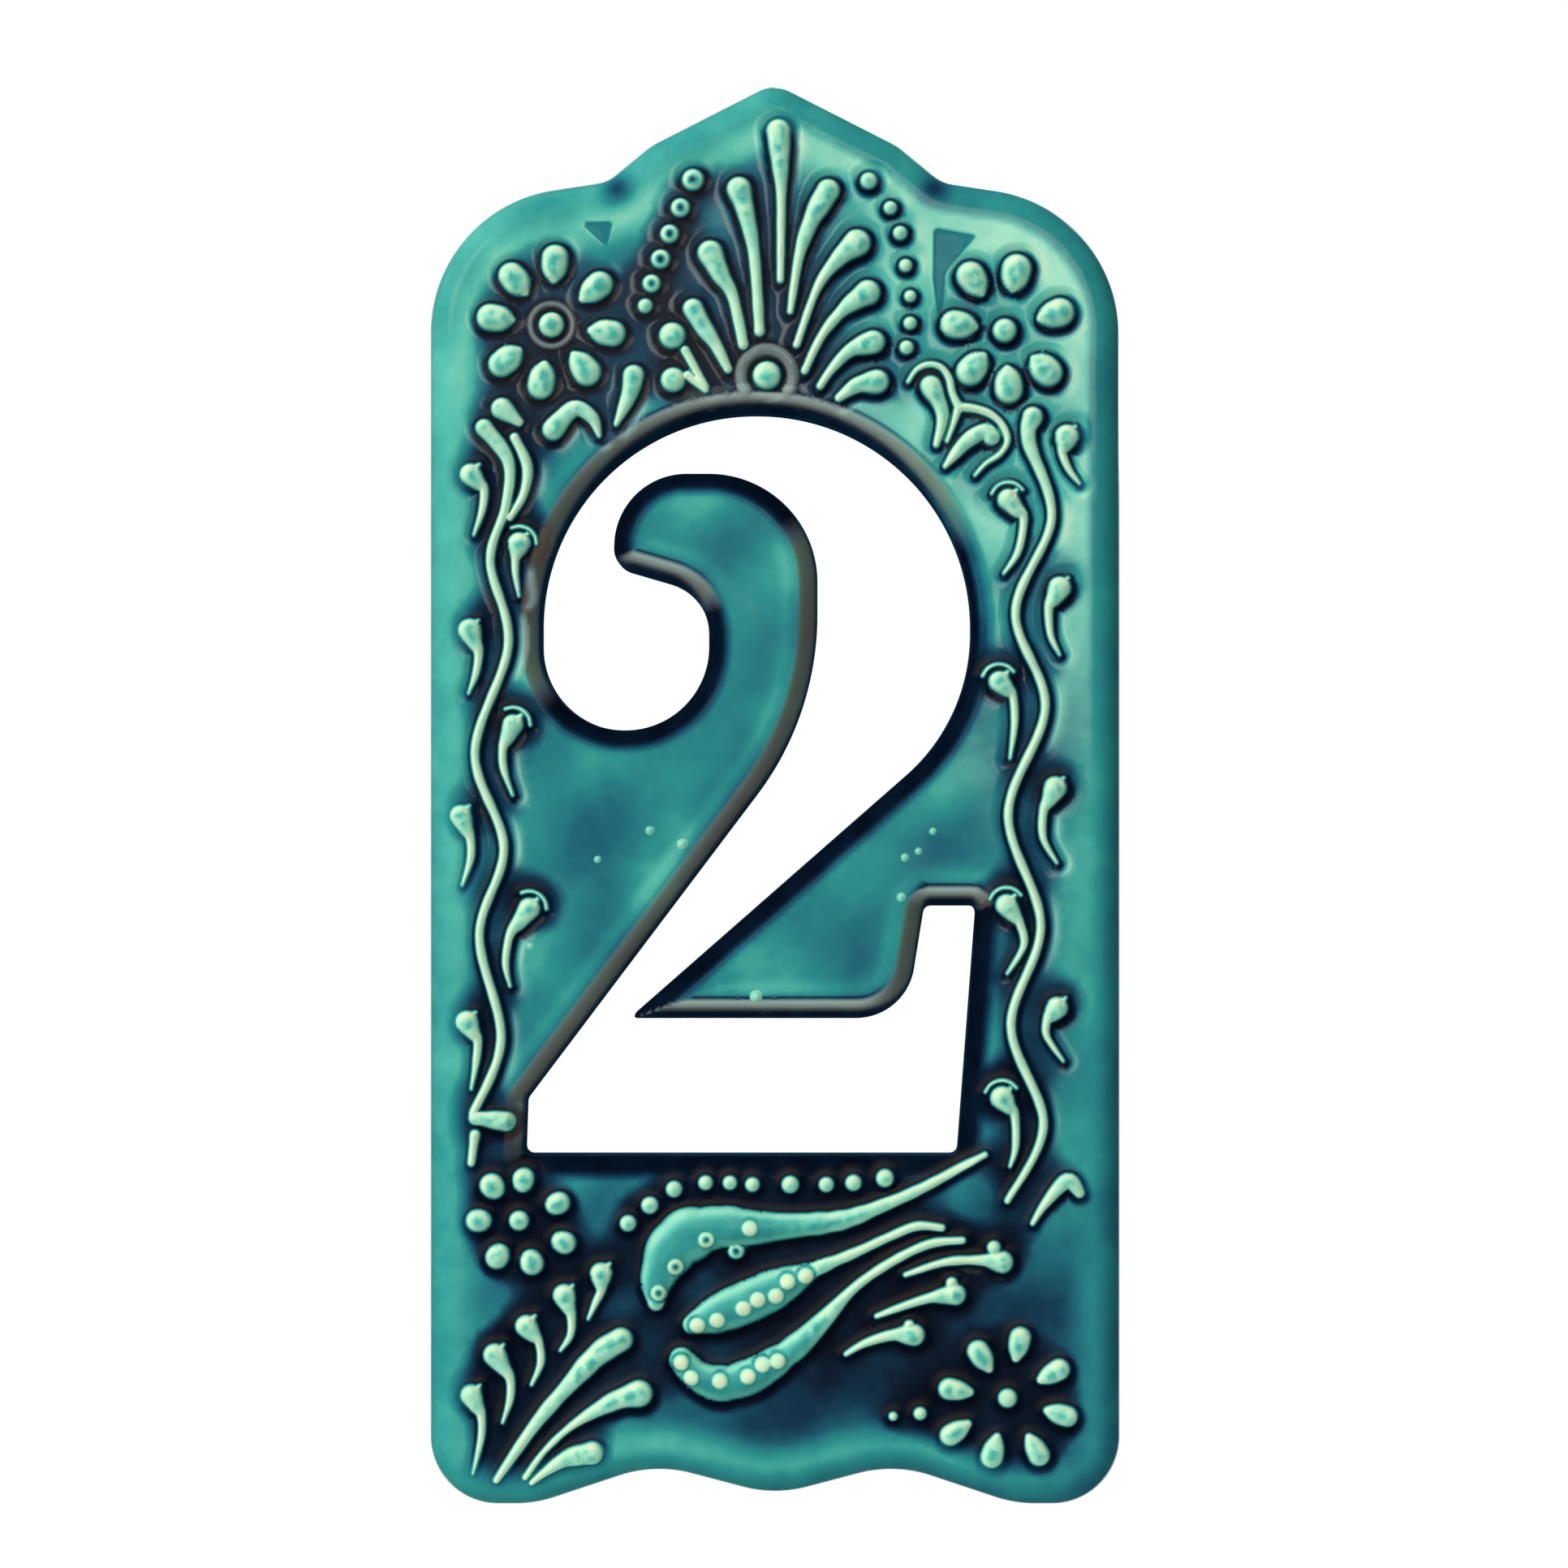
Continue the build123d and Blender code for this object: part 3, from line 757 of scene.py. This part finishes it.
# Lighter here: the band inside the edge, and the moat rims as a painted highlight.
ground -= lift * (1 - sheen_zone) * bell(band, band_reach) + rim_highlight_lift * rim_highlight
# Painted shade and light: the edges darker to the right and bottom, lighter to the left and top.
ground += edge_shade_lean * (across / half_width - up / top_z) * bell(from_edge, edge_reach)
ground = toward(ground, 1.0, pool_and_shade)
# The two hollows keep at least a middle depth, clear of the painted sheen.
ground = np.maximum(ground, wiped_depth * wiped)
ground = toward(ground, ridge_depth, on_ridge)
# The ground is painted darker in the two notches of the top edge.
for notch in notches:
    notch_share = 0.8 * bell(np.linalg.norm(face_points - notch, axis=1), notch_reach)
    ground = toward(ground, notch_depth, notch_share)

# The numeral's lip is coloured by the way it faces, as painted light and shade. Where the bevel turns up
# or left it is painted deep, as shade. Where it turns to the right it shows brown, partly bare clay and
# partly a painted reflection, and where it turns down it shows a pale painted highlight between two dark
# lines.
lip_shade = 0.97
lip_light = 0.8
lip_shade_line = 0.9
lip_line_gap = 2.3
lip_line_width = 0.22
slope_step = 0.2
lip_light_way = np.array([-0.5, 0.87])
lip_slope = np.stack([
    (out_of(numeral, face_points + step) - out_of(numeral, face_points - step)) / (2 * slope_step)
    for step in slope_step * np.eye(2)
], 1)
lip_run = -(lip_slope @ lip_light_way)
# How far the lip is painted as lit; the rest of the lip is painted as shade.
lip_lit = np.clip(0.5 - 3 * lip_run, 0, 1)
lip_under = np.clip(lip_slope[:, 1], 0, 1) ** 3
# How far the lip's painted shade reaches from the hole; it is weaker under the painted sheen.
lip_shade_reach = np.clip(1.5 * (1.3 - from_lip / lip_width), 0, 1)
lip_shade_reach *= 1 - np.clip(0.8 * sheen_zone, 0, 0.45) * ramp(from_lip, 0.5, 0.9)
dark_end = 0.6 + 0.9 * lip_under
# Painted shade where the lip turns up or left, painted light where it turns right or down, and a dark painted
# line outside the pale highlight.
ground = toward(ground, lip_shade, (1 - lip_lit) * lip_shade_reach)
ground = toward(ground, lip_light + 0.08 * lip_under, lip_lit * ramp(from_lip, dark_end, dark_end - 0.4))
ground = toward(ground, lip_shade_line, lip_lit * lip_under * bell(from_lip - lip_line_gap, lip_line_width))
# A painted highlight: the ground is lighter in a line just outside the lip's lit side.
ground -= 0.08 * lip_lit * (1 - pool_and_shade) * (1 - painted_sheen) * bell(from_lip - 3.5, 0.7)

# On the beads it is thin, thinnest on the shoulders, with blots of turquoise on the broad heads, and each
# bead is painted lighter on its side toward the light and deeper on the other, as painted shading. The
# tulip's petals are turquoise all over, and the studs on them are nearly white.
crest_glaze = 0.15
shoulder_thin = 0.1
foot_glaze = 0.4
lit_flank_lift = 0.1
narrow_thin = 0.06
head_blot = 0.24
petal_glaze = 0.3
stud_glaze = 0.03
stud_ring = 0.62
speck_glaze = 0.2
pit_glaze = 0.7
from_spine = np.clip(1 + gap / width, 0, 1)
petal = ramp(width, 0.9, 1.6) * (which >= tulip_first) * (which < tulip_last)
broad = ramp(width, 0.6, 1.1) * (1 - petal)
blot = np.clip(0.5 + 0.7 * uneven(face_points, size=1.7, seed=5), 0, 1)
crest = crest_glaze - shoulder_thin * bell(from_spine - 0.72, 0.2) + foot_glaze * from_spine**16
# Painted shading: each bead lighter on its side toward the light, deeper on the other.
crest -= lit_flank_lift * np.maximum(from_spine, 0.2) * lightward + narrow_thin * ramp(width, 0.85, 0.45)
crest += head_blot * broad * blot * bell(from_spine, 0.6) + petal_glaze * petal * (1 - from_spine**4)
glaze = np.where(gap < edge_slack, crest, ground)
glaze = np.maximum(glaze, stud_ring * bell(np.maximum(stud_gap, 0), 0.3))
stud_crest = stud_glaze + foot_glaze * np.clip(1 + stud_gap / stud_width, 0, 1) ** 9
glaze = np.where(stud_gap < edge_slack, stud_crest, glaze)
glaze = np.where(speck_gap < edge_slack, speck_glaze, glaze) + pit_glaze * in_pit

# A clay tone is mixed into the colour: above each bead, partly thin glaze and partly a painted reflection;
# on the ridges, partly thin glaze and partly a painted reflection of the sheen; on the lit side of the moat
# rims, as a painted highlight; in the pools at the upper left of the arch, as a painted reflection; and on
# the lip where it turns right or down, partly bare clay and partly painted light. It is brown, but pale
# where it is a painted highlight, on the rims and where the lip faces down. The moats, the hollows and the
# lip mirror less than the open ground.
# Shares of clay tone: partly thin glaze, partly painted reflection and painted highlight.
bead_clay_and_reflection = 0.18
rim_highlight_clay = 0.4
arch_reflection = 0.12
ridge_clay_and_sheen = 0.6
lip_clay_and_reflection = 0.75
ridge_sheen_pale = 0.4
gloss_rough = 0.14
bead_rough = 0.18
full_shine = 0.5
bead_shine = 0.45
moat_dull = 0.88
hollow_dull = 0.8
lip_dull = 0.85
lip_band = ramp(from_lip, 0.15 + 0.6 * lip_under, 0.5 + 0.95 * lip_under)
lip_band *= ramp(from_lip, 2.3 - 0.1 * lip_under, 1.8 + 0.1 * lip_under)
lip_band *= 1 - low_run * np.clip(1.5 * pool_and_shade_wide, 0, 1)
# The clay tone, partly thin glaze and partly painted reflection and painted highlight.
clay_and_light = np.max([
    bead_clay_and_reflection * ramp(lightward, 0.15, 1.0) * bell(outside - 0.5, 0.4) * ramp(from_edge, 2.5, 5.5),
    rim_highlight_clay * rim_highlight,
    arch_reflection * pool_and_shade_wide * ramp(up, 36, 44) * ramp(across, 6, -4),
    ridge_clay_and_sheen * on_ridge,
    (lip_clay_and_reflection + 0.15 * lip_under) * lip_lit * lip_band,
], axis=0)
clay_and_light = np.where(gap < edge_slack, 0, clay_and_light)
# A pale painted highlight on the lip where it faces down.
lip_highlight = lip_under * ramp(from_lip, 0.6, 1.9) * (from_lip < 3)
pale_highlight = np.max([ridge_sheen_pale * on_ridge, np.minimum(3 * rim_highlight, 1), lip_highlight], axis=0)
rough = gloss_rough + bead_rough * ramp(gap, 0, -0.3)
moat = np.maximum(pool_and_shadow_near, np.exp(-((outside / 1.1) ** 4)))
shine = full_shine * np.where(gap < 0, bead_shine, 1 - moat_dull * moat) * (1 - hollow_dull * wiped)
shine *= (1 - lip_dull * ramp(from_lip, 2.7, 2.3)) * ramp(from_lip, 0, 0.5)
shine *= 0.3 + 0.7 * ramp(from_edge, 0, 4) ** 4


def keep(name, face_values, edge_value, lip_value):
    """Stores a value for every point of the face, one for the outer wall and one for the numeral's."""
    stored = np.full(len(points), lip_value, np.float32)
    stored[:face_count] = face_values
    stored[face_count:lip_first] = edge_value
    mesh.attributes.new(name, "FLOAT", "POINT").data.foreach_set("value", stored)


# The numeral's wall is painted deep, as shade inside the hole; the outer wall keeps the open depth.
keep("glaze", glaze, edge_value=0.5, lip_value=0.82)
keep("clay_and_light", clay_and_light, edge_value=0.0, lip_value=0.0)
keep("pale_highlight", pale_highlight, edge_value=0.0, lip_value=0.0)
keep("rough", rough, edge_value=0.5, lip_value=0.6)
keep("shine", shine, edge_value=0.3, lip_value=0.0)


def colour(code):
    """An sRGB hex colour as linear red, green, blue and alpha: a channel of 0 to 1 is divided by 12.92
    if it is dark, and is otherwise its sum with 0.055, over 1.055, to the power of 2.4."""
    value = np.array([int(code[k:k + 2], 16) for k in (1, 3, 5)]) / 255
    value = np.where(value <= 0.04045, value / 12.92, ((value + 0.055) / 1.055) ** 2.4)
    return (*value.tolist(), 1.0)


def add(tree, kind, inputs=None, **settings):
    """Adds a node with its own settings; each input is a plain value or another node's output."""
    made = tree.nodes.new(kind)
    for name, value in settings.items():
        setattr(made, name, value)
    for key, value in (inputs or {}).items():
        if isinstance(value, bpy.types.NodeSocket):
            tree.links.new(value, made.inputs[key])
        else:
            made.inputs[key].default_value = value
    return made


def stops(node, pairs):
    """Sets a ramp's stops from pairs of place and colour."""
    elements = node.color_ramp.elements
    for place, code in pairs[2:]:
        elements.new(place)
    for element, (place, code) in zip(elements, pairs):
        element.position = place
        element.color = colour(code)


glaze_stops = [(0.0, "#E2F0C8"), (0.08, "#C2EBC6"), (0.16, "#9CE2C2"), (0.3, "#5CC2AE"), (0.46, "#2E9490"),
               (0.62, "#1F6A7A"), (0.76, "#113C54"), (0.88, "#081C30"), (1.0, "#040B18")]
# A brown that stands for bare clay and for a painted reflection, and a pale that is a painted highlight.
brown_clay_and_reflection = "#6B5E50"
pale_highlight_tone = "#AFC3BC"
glaze_ior = 1.52
blotch_size = 3.0
blotch_depth = 0.03
ripple_size = 2.0
ripple_height = 0.05
ripple_strength = 0.25

turquoise = bpy.data.materials.new("turquoise_lead_glaze")
turquoise.use_nodes = True
tree = turquoise.node_tree
shader = tree.nodes["Principled BSDF"]
place = add(tree, "ShaderNodeTexCoord").outputs["Object"]
stored = {name: add(tree, "ShaderNodeAttribute", attribute_name=name).outputs["Fac"]
          for name in ("glaze", "clay_and_light", "pale_highlight", "rough", "shine")}
blotch = add(tree, "ShaderNodeTexNoise", {"Vector": place, "Scale": 1 / (blotch_size * mm), "Detail": 4.0})
shift = add(tree, "ShaderNodeMapRange", {"Value": blotch.outputs["Fac"], "From Min": 0.3, "From Max": 0.7,
                                         "To Min": -blotch_depth, "To Max": blotch_depth})
mottled = add(tree, "ShaderNodeMath", {0: stored["glaze"], 1: shift.outputs["Result"]}, operation="ADD")
body = add(tree, "ShaderNodeValToRGB", {"Fac": mottled.outputs["Value"]})
stops(body, glaze_stops)
# Brown clay and painted reflection, and the pale painted highlight, mixed over the glaze colour.
clay_and_highlight = {"Factor": stored["pale_highlight"], "A": colour(brown_clay_and_reflection), "B": colour(pale_highlight_tone)}
clay_and_highlight = add(tree, "ShaderNodeMix", clay_and_highlight, data_type="RGBA")
broken_and_lit = {"Factor": stored["clay_and_light"], "A": body.outputs["Color"], "B": clay_and_highlight.outputs["Result"]}
broken_and_lit = add(tree, "ShaderNodeMix", broken_and_lit, data_type="RGBA")
ripple = add(tree, "ShaderNodeTexNoise", {"Vector": place, "Scale": 1 / (ripple_size * mm), "Detail": 2.0})
bump = add(tree, "ShaderNodeBump", {"Height": ripple.outputs["Fac"], "Strength": ripple_strength,
                                    "Distance": ripple_height * mm})
tree.links.new(broken_and_lit.outputs["Result"], shader.inputs["Base Color"])
tree.links.new(bump.outputs["Normal"], shader.inputs["Normal"])
tree.links.new(stored["rough"], shader.inputs["Roughness"])
tree.links.new(stored["shine"], shader.inputs["Specular IOR Level"])
shader.inputs["IOR"].default_value = glaze_ior
mesh.materials.append(turquoise)

# The back is the bare biscuit of the same earthenware, struck off flat and fired without glaze.
# To the eye it is buff, dry and matt, with a fine sandy grain.
grain_size = 0.35
biscuit_stops = [(0.35, "#C9B090"), (0.65, "#E2CFB4")]
biscuit_rough = 0.9
biscuit = bpy.data.materials.new("biscuit_earthenware")
biscuit.use_nodes = True
tree = biscuit.node_tree
shader = tree.nodes["Principled BSDF"]
place = add(tree, "ShaderNodeTexCoord").outputs["Object"]
grain = add(tree, "ShaderNodeTexNoise", {"Vector": place, "Scale": 1 / (grain_size * mm), "Detail": 5.0})
tint = add(tree, "ShaderNodeValToRGB", {"Fac": grain.outputs["Fac"]})
stops(tint, biscuit_stops)
tree.links.new(tint.outputs["Color"], shader.inputs["Base Color"])
shader.inputs["Roughness"].default_value = biscuit_rough
mesh.materials.append(biscuit)

# The floor is a round of pale matt paper that takes the plaque's shadow. It lies well under the
# plaque, which hangs by its back in its own frame.
floor_radius = 0.28
floor_drop = 0.06
floor_sides = 96
paper_colour = "#EFEFEC"
paper_rough = 0.9


def plain(name, code, rough):
    """A material of one colour and one roughness."""
    made = bpy.data.materials.new(name)
    made.use_nodes = True
    made.node_tree.nodes["Principled BSDF"].inputs["Base Color"].default_value = colour(code)
    made.node_tree.nodes["Principled BSDF"].inputs["Roughness"].default_value = rough
    return made


turn = np.linspace(0, 2 * pi, floor_sides, endpoint=False)
floor_z = np.full(floor_sides, bottom_z * mm - floor_drop)
disc = np.column_stack([floor_radius * np.cos(turn), floor_radius * np.sin(turn), floor_z])
floor_mesh = bpy.data.meshes.new("floor")
floor_mesh.from_pydata(disc.tolist(), [], [list(range(floor_sides))])
floor_mesh.materials.append(plain("matt_paper", paper_colour, paper_rough))
floor = bpy.data.objects.new("floor", floor_mesh)
bpy.context.scene.collection.objects.link(floor)
floor.visible_glossy = False

# The studio: a soft key from the upper left, and three cards that only the glaze mirrors, two of them
# on its upper right and one at the left. A lamp behind lights the back, a grey felt hood, open at the
# back, keeps other reflections dark, and the eye sees white all round.
white = "#FFFFFF"
cream = "#FFFBE0"
card_y = -0.47
hood_reach = 1.5
hood_back = 2.0
hood_colour = "#5A5A5A"
fill_light = 0.25


def softbox(name, place, size, power, tint, aim=(0.0, 0.0, 0.0)):
    """A lamp of that width and height at a place, turned to face the aim: tilted from straight down by
    the angle whose tangent is its level distance over its height, then turned about the upright."""
    lamp = bpy.data.lights.new(name, "AREA")
    lamp.shape = "RECTANGLE"
    lamp.size, lamp.size_y = size
    lamp.energy = power
    lamp.color = colour(tint)[:3]
    made = bpy.data.objects.new(name, lamp)
    made.location = place
    away = np.array(place) - np.array(aim)
    level_distance = np.linalg.norm(away[:2])
    made.rotation_euler = (atan2(level_distance, away[2]), 0.0, atan2(away[0], -away[1]))
    bpy.context.scene.collection.objects.link(made)
    return made


key = softbox("key", (-0.62, -0.75, 0.70), (1.0, 1.0), 16.4, white)
key.visible_glossy = False
sheen = softbox("sheen", (0.09, card_y, 0.155), (0.14, 0.16), 0.25, cream, aim=(0.09, 0.0, 0.155))
column = softbox("column", (0.059, card_y, 0.045), (0.018, 0.07), 0.02, cream, aim=(0.059, 0.0, 0.045))
rim_light = softbox("rim_light", (-0.30, card_y, 0.22), (0.2, 0.2), 0.4, cream)
for card in (sheen, column, rim_light):
    card.visible_diffuse = False
softbox("back_light", (0.5, 1.2, 0.6), (1.0, 1.0), 10.0, white)

hood_mesh = bpy.data.meshes.new("hood")
hood_square = np.array([(-1, -1), (1, -1), (1, 1), (-1, 1)]) * hood_reach
hood_corners = [(x, y, z) for y in (-hood_reach, hood_back) for x, z in hood_square.tolist()]
hood_faces = [(0, 3, 2, 1), (0, 1, 5, 4), (1, 2, 6, 5), (2, 3, 7, 6), (3, 0, 4, 7)]
hood_mesh.from_pydata(hood_corners, [], hood_faces)
hood_mesh.materials.append(plain("grey_felt", hood_colour, 1.0))
hood = bpy.data.objects.new("hood", hood_mesh)
bpy.context.scene.collection.objects.link(hood)
hood.visible_camera = False
hood.visible_diffuse = False
hood.visible_transmission = False
hood.visible_shadow = False

world = bpy.data.worlds.new("studio")
bpy.context.scene.world = world
world.use_nodes = True
tree = world.node_tree
ray = add(tree, "ShaderNodeLightPath").outputs
seen = {0: ray["Is Camera Ray"], 1: ray["Is Glossy Ray"]}
seen = add(tree, "ShaderNodeMath", seen, operation="MAXIMUM").outputs[0]
seen = {0: seen, 1: ray["Is Transmission Ray"]}
seen = add(tree, "ShaderNodeMath", seen, operation="MAXIMUM").outputs[0]
level = add(tree, "ShaderNodeMapRange", {"Value": seen, "To Min": fill_light, "To Max": 1.0})
tree.links.new(level.outputs["Result"], tree.nodes["Background"].inputs["Strength"])
tree.nodes["Background"].inputs["Color"].default_value = colour(white)

# The camera stands square before the plaque, a little to the right of its middle and above it, as far
# off as a long lens needs to take in the view's width at the view plane.
view_width = 173.9 * mm
view_plane = -5.0 * mm
view_x = 0.99 * mm
view_z = 1.26 * mm
camera_data = bpy.data.cameras.new("camera")
camera_data.lens = 100.0
camera_data.sensor_width = 36.0
stand_off = view_width * camera_data.lens / camera_data.sensor_width
camera = bpy.data.objects.new("camera", camera_data)
camera.location = (view_x, view_plane - stand_off, view_z)
camera.rotation_euler = (pi / 2, 0.0, 0.0)
bpy.context.scene.collection.objects.link(camera)
bpy.context.scene.camera = camera
bpy.context.scene.view_settings.view_transform = "Standard"
